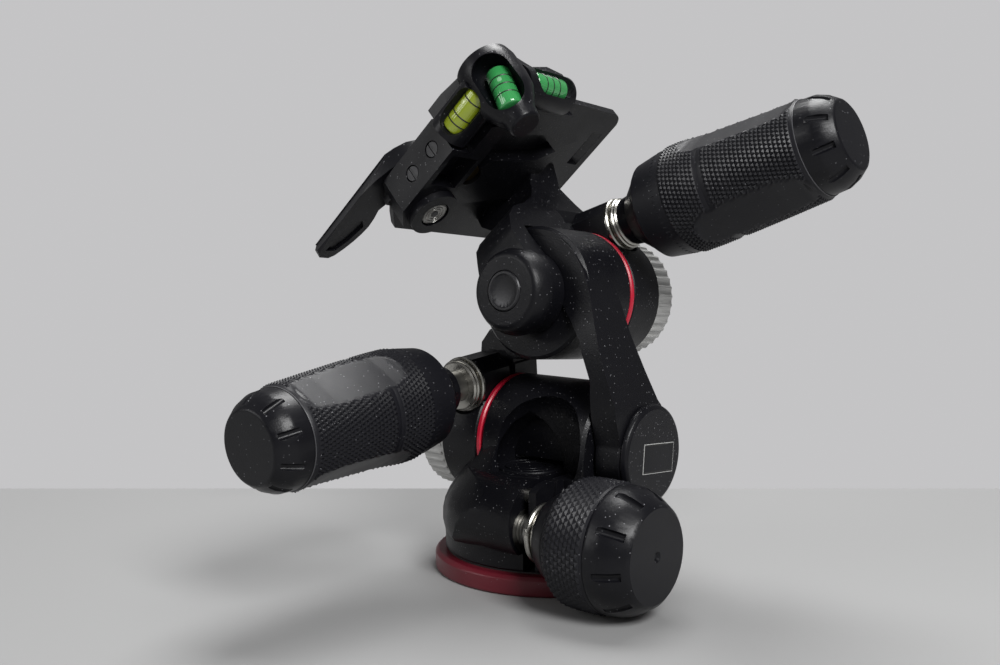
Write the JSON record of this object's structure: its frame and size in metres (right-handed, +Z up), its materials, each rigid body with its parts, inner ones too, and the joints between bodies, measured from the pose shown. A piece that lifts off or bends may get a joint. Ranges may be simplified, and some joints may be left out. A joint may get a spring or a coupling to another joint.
{
  "type": "three way pan tilt head",
  "caption": "Photo head with a clamped pan base, two clamped tilt axes, telescoping grips, friction wheels and a quick release platform with levels.",
  "frame": {"origin": "centre of the base disc's underside, at the mouth of the tripod thread", "axes": "+Z up, +X along the lower tilt axis towards the round side cover, the lower handle points to -Y"},
  "size_m": [0.1342, 0.1236, 0.1328],
  "materials": {
    "black_cast": "fine textured black paint",
    "black_plastic": "fine grained black moulding",
    "grip_rubber": "knurled black rubber",
    "red_disc": "dark red satin paint",
    "slip": "black slip ring",
    "red_ring": "crimson satin",
    "silver": "turned bright",
    "steel": "turned steel",
    "black_bolt": "blackened steel",
    "pale_grey": "pale grey moulding",
    "vial": "clear green liquid",
    "brass": "bright"
  },
  "bodies": {
    "base": {"base_disc": "red_disc", "pan_spindle": "silver", "slip_ring": "slip", "pan_retainer": "steel"},
    "housing": {"pan_housing": "black_cast", "pan_cover": "black_plastic", "pan_nut": "steel", "pan_pin": "silver", "lower_shaft": "steel", "lower_hub": "steel", "lower_ring": "red_ring", "lower_springs": "steel", "lower_bolt": "steel"},
    "knob": {"pan_screw": "steel", "pan_washers": "silver", "pan_knob": "black_plastic", "pan_knob_sleeve": "grip_rubber", "pan_knob_cap": "black_plastic"},
    "lower_friction": {"lower_wheel": "pale_grey"},
    "yoke": {"arm": "black_cast", "side_cover": "black_plastic", "lower_nut": "steel", "upper_shaft": "steel", "upper_hub": "steel", "upper_ring": "red_ring", "upper_springs": "steel", "upper_bolt": "black_bolt"},
    "lower_turn": {"lower_stem": "steel", "lower_washers": "silver"},
    "lower_pull": {"lower_grip": "black_plastic", "lower_sleeve": "grip_rubber", "lower_grip_cap": "black_plastic"},
    "upper_friction": {"upper_wheel": "pale_grey"},
    "head": {"platform": "black_cast", "upper_nut": "steel", "lever_pivot": "steel", "lever_spring": "steel", "level_holder": "black_plastic", "vial_side": "vial", "vial_corner": "vial", "vial_edge": "vial", "holder_screws": "steel"},
    "upper_turn": {"upper_stem": "steel", "upper_washers": "silver"},
    "upper_pull": {"upper_grip": "black_plastic", "upper_sleeve": "grip_rubber", "upper_grip_cap": "black_plastic"},
    "lock_lever": {"lever": "black_plastic"},
    "trigger": {"trigger_pin": "brass"}
  },
  "joints": [
    {"name": "pan", "type": "hinge", "parent": "base", "child": "housing", "pos_m": [0, 0, 0], "axis": [0, 0, 1], "continuous": true},
    {"name": "pan_lock", "type": "hinge", "parent": "housing", "child": "knob", "pos_m": [0, -0.0238, 0.0158], "axis": [1, 0, 0], "range_deg": [0, 360]},
    {"name": "front_tilt", "type": "hinge", "parent": "housing", "child": "yoke", "pos_m": [0, 0, 0.033], "axis": [1, 0, 0], "range_deg": [-84.5, 24]},
    {"name": "lower_drag", "type": "hinge", "parent": "housing", "child": "lower_friction", "pos_m": [0, 0, 0.033], "axis": [-1, 0, 0], "range_deg": [-180, 180]},
    {"name": "lower_lock", "type": "hinge", "parent": "yoke", "child": "lower_turn", "pos_m": [-0.01755, -0.0014, 0.04874], "axis": [0, -0.996, -0.0889], "range_deg": [0, 360]},
    {"name": "lower_reach", "type": "slide", "parent": "lower_turn", "child": "lower_pull", "axis": [0, -0.996, -0.0889], "range_m": [-0.005, 0.019]},
    {"name": "side_tilt", "type": "hinge", "parent": "yoke", "child": "head", "pos_m": [0.003, 0.00344, 0.07084], "axis": [0, -0.9959, 0.0906], "range_deg": [-64, 46]},
    {"name": "upper_drag", "type": "hinge", "parent": "yoke", "child": "upper_friction", "pos_m": [0.003, 0.00344, 0.07084], "axis": [0, 0.9959, -0.0906], "range_deg": [-180, 180]},
    {"name": "upper_lock", "type": "hinge", "parent": "head", "child": "upper_turn", "pos_m": [-0.00214, 0.017, 0.08461], "axis": [0.9455, 0.0295, 0.3242], "range_deg": [0, 360]},
    {"name": "upper_reach", "type": "slide", "parent": "upper_turn", "child": "upper_pull", "axis": [0.9455, 0.0295, 0.3242], "range_m": [0, 0.024]},
    {"name": "plate_lock", "type": "hinge", "parent": "head", "child": "lock_lever", "pos_m": [-0.03363, -0.01687, 0.10138], "axis": [-0.6947, 0.0652, 0.7164], "range_deg": [0, 60], "stiffness_Nm_per_rad": 0.02},
    {"name": "trigger_press", "type": "slide", "parent": "head", "child": "trigger", "axis": [0.6947, -0.0652, -0.7164], "range_m": [0, 0.002], "stiffness_N_per_m": 200}
  ]
}
